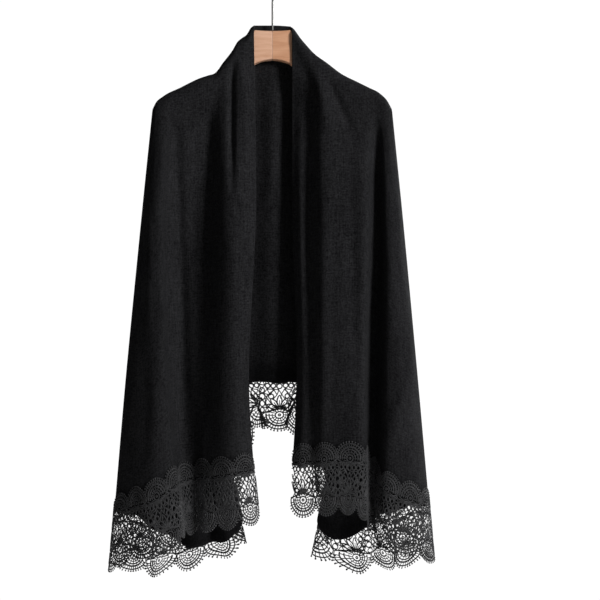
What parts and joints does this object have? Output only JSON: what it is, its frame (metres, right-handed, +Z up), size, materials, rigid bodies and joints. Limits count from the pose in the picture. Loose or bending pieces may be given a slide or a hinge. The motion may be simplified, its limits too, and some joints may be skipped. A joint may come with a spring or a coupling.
{
  "type": "lace shawl on a clothes hanger",
  "caption": "Long knitted shawl with a wide scalloped lace border, draped open over a wooden hanger with a wire hook.",
  "frame": {"origin": "inside of the hook's top, where it hangs on a rail", "axes": "+Z up, +Y towards the shawl's back, +X to the right as seen from the front; the open front faces -Y"},
  "size_m": [0.6004, 0.1847, 1.1231],
  "materials": {
    "knit": "fine black wool knit, matt with a soft nap",
    "lace": "black corded guipure lace, slightly glossy thread",
    "wood": "pale reddish beech, smooth satin varnish",
    "wire": "bright steel wire"
  },
  "bodies": {
    "root": {"shawl_front_left": "knit", "shawl_front_right": "knit", "shawl_back": "knit", "lace_front_left": "lace", "lace_front_right": "lace", "lace_back": "lace", "hanger_arm_left": "wood", "hanger_arm_right": "wood", "hanger_hook": "wire"}
  },
  "joints": []
}
